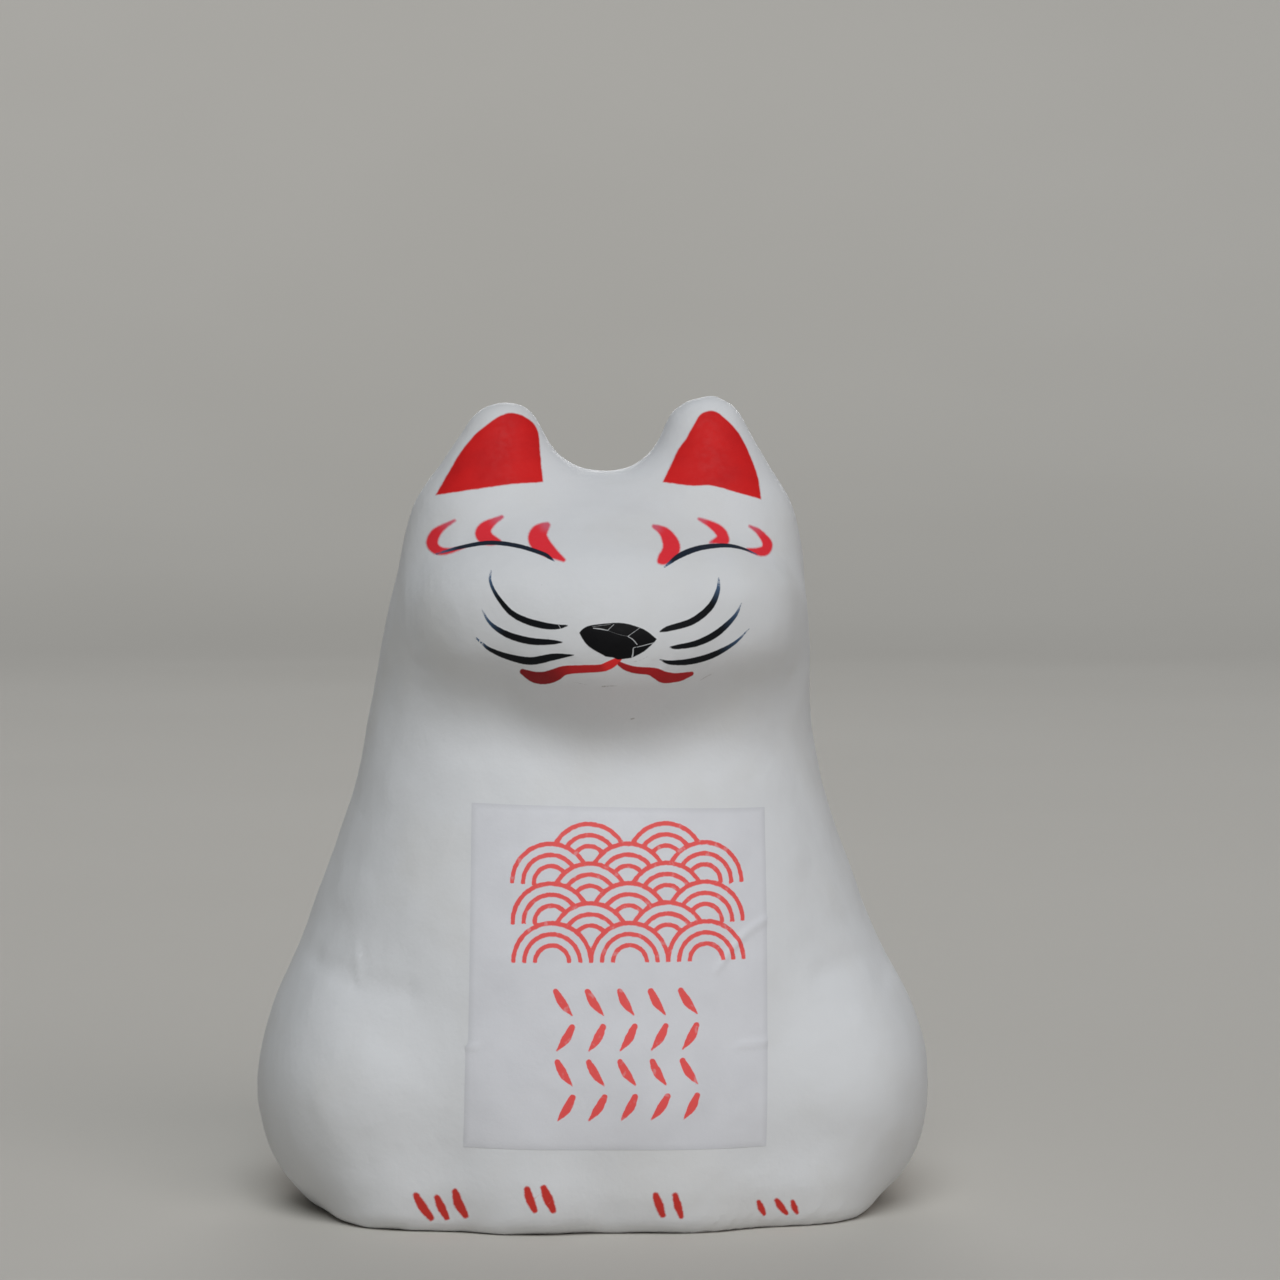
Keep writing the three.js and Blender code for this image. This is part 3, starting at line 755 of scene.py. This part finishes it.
def label_sheet(points, faces):
    """A thin closed sheet that follows the body's front."""
    spots, facing, outer = label_front(points, faces)
    rim = rim_edges(outer)
    tree = KDTree(len(rim))
    for number in range(len(rim)):
        tree.insert(spots[rim[number, 0]].tolist(), number)
    tree.balance()
    inset = np.clip([tree.find(spot.tolist())[2] / RIM_WIDTH for spot in spots], 0.0, 1.0)
    back = spots + facing * label_lift(spots, inset)[:, None]
    front = back + facing * LABEL_THICKNESS
    size = len(spots)
    sides = np.vstack((np.stack((rim[:, 1], rim[:, 0], rim[:, 0] + size), 1),
                       np.stack((rim[:, 1], rim[:, 0] + size, rim[:, 1] + size), 1)))
    every = np.vstack((outer, outer[:, ::-1] + size, sides))
    edge = label_edge(spots)
    # How far each point lies in from the rim; the material uses it for the painted shade along the label's rim
    values = {"print_edge": np.tile(edge, 2), "rim_shade_share": np.tile(inset, 2)}
    sheet = mesh_object("label_sheet", np.vstack((front, back)), every, values)
    sharpen(sheet.data, np.vstack((rim, rim + size)))
    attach(sheet, "root")
    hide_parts("paper_label")
    return sheet


LABEL_WHITE = (0.785, 0.79, 0.825, 1.0)
LABEL_GREY = (0.745, 0.75, 0.785, 1.0)
# Painted shade: the colour of a thin darker band along the label's rim, standing in for the shadow of the paper's
# edge
LABEL_RIM_SHADE = (0.58, 0.585, 0.61, 1.0)
PRINT_RED = (0.95, 0.10, 0.095, 1.0)


def label_material():
    n = Nodes("label_paper")
    cloud = n.noise(7.0, 4.0)
    fibre = n.noise(0.6, 4.0, 0.65)
    paper = n.mix(n.ramp(cloud, 0.35, 0.75), LABEL_WHITE, LABEL_GREY)
    # Painted shade: the paper darkens in a thin band towards its rim, as if in the shadow of its own edge
    paper = n.mix(n.ramp(n.attribute("rim_shade_share"), 0.0, 0.7, 0.4, 0.0), paper, LABEL_RIM_SHADE)
    ink = n.mask(n.attribute("print_edge"), 0.08, 0.22, 0.7)
    worn = n.ramp(n.noise(1.1, 3.0), 0.28, 0.42, 0.75, 1.0)
    colour = n.mix(n.math("MULTIPLY", ink, worn), paper, PRINT_RED)
    n.feed(n.shader.inputs["Base Color"], colour)
    n.feed(n.shader.inputs["Roughness"], n.ramp(fibre, 0.3, 0.7, 0.5, 0.64))
    n.shader.inputs["Specular IOR Level"].default_value = 0.4
    height = n.math("ADD", n.math("MULTIPLY", fibre, 0.5), n.math("MULTIPLY", cloud, 0.5))
    n.feed(n.shader.inputs["Normal"], n.bump(height, 0.05))
    return n.material


# Surroundings
FLOOR_RADIUS = 2.0
BEND_RADIUS = 2.4
WALL_TOP = 0.62
BEND_STEPS = 12
FLOOR_STEPS = 72


def floor():
    """A plain pale floor that curves up all round."""
    turn = math.acos(1.0 - WALL_TOP / BEND_RADIUS)
    bend = [(FLOOR_RADIUS + BEND_RADIUS * math.sin(t), BEND_RADIUS - BEND_RADIUS * math.cos(t))
            for t in np.linspace(0.0, turn, BEND_STEPS)]
    profile = [(0.0, 0.0)] + bend
    made = bmesh.new()
    for radius, height in profile:
        made.verts.new((radius, 0.0, height))
    made.verts.ensure_lookup_table()
    for start, end in zip(made.verts[:-1], made.verts[1:]):
        made.edges.new((start, end))
    bmesh.ops.spin(made, geom=made.verts[:] + made.edges[:], cent=(0, 0, 0), axis=(0, 0, 1),
                   angle=2 * math.pi, steps=FLOOR_STEPS)
    bmesh.ops.remove_doubles(made, verts=made.verts, dist=MM)
    bmesh.ops.recalc_face_normals(made, faces=made.faces)
    mesh = bpy.data.meshes.new("floor")
    made.to_mesh(mesh)
    made.free()
    mesh.polygons.foreach_set("use_smooth", np.ones(len(mesh.polygons), bool))
    ground = bpy.data.objects.new("floor", mesh)
    bpy.context.scene.collection.objects.link(ground)
    n = Nodes("floor_paint")
    n.shader.inputs["Roughness"].default_value = 0.9
    tone = n.mix(n.ramp(n.noise(400.0), 0.3, 0.7), (0.56, 0.535, 0.49, 1.0), (0.575, 0.55, 0.505, 1.0))
    n.feed(n.shader.inputs["Base Color"], tone)
    mesh.materials.append(n.material)


SOFTNESS = 35.0
KEY = (0.0, 55.0, 1.43, (0.915, 0.965, 1.0))
SIDE = (33.0, 35.0, 0.61, (1.0, 0.955, 0.955))
BACK = (180.0, 6.0, 2.2, (1.0, 0.98, 0.96))


def soft_light(name, turn, height, strength, colour):
    """A broad distant light; the turn is from the camera's side, towards the right."""
    light = bpy.data.lights.new(name, "SUN")
    light.energy = strength
    light.color = colour
    light.angle = math.radians(SOFTNESS)
    made = bpy.data.objects.new(name, light)
    across, up = math.radians(turn + CAMERA_AZIMUTH), math.radians(height)
    towards = Vector((math.sin(across) * math.cos(up), -math.cos(across) * math.cos(up), math.sin(up)))
    made.rotation_euler = towards.to_track_quat("Z", "Y").to_euler()
    bpy.context.scene.collection.objects.link(made)


def lights():
    soft_light("key", *KEY)
    soft_light("side", *SIDE)
    soft_light("back", *BACK)
    world = bpy.data.worlds.new("room")
    world.use_nodes = True
    world.node_tree.nodes["Background"].inputs[0].default_value = (0.9, 0.92, 0.95, 1.0)
    world.node_tree.nodes["Background"].inputs[1].default_value = 0.06
    bpy.context.scene.world = world


def camera():
    data = bpy.data.cameras.new("camera")
    data.sensor_width = SENSOR
    data.lens = LENS
    data.clip_start = 0.02
    made = bpy.data.objects.new("camera", data)
    turn, down = math.radians(CAMERA_AZIMUTH), math.radians(CAMERA_DOWN)
    forward = Vector((-math.sin(turn) * math.cos(down), math.cos(turn) * math.cos(down), -math.sin(down)))
    made.location = (Vector(AIM) - forward * CAMERA_DISTANCE) * MM
    made.rotation_euler = (math.pi / 2 - down, 0.0, turn)
    bpy.context.scene.collection.objects.link(made)
    bpy.context.scene.camera = made


camera()
body, body_points, body_faces = fox_body()
body.data.materials.append(painted_material())
label = label_sheet(body_points, body_faces)
label.data.materials.append(label_material())
floor()
lights()
bpy.context.scene.view_settings.view_transform = "Standard"
print("fox body triangles", len(body_faces), "label quads", len(label.data.polygons))
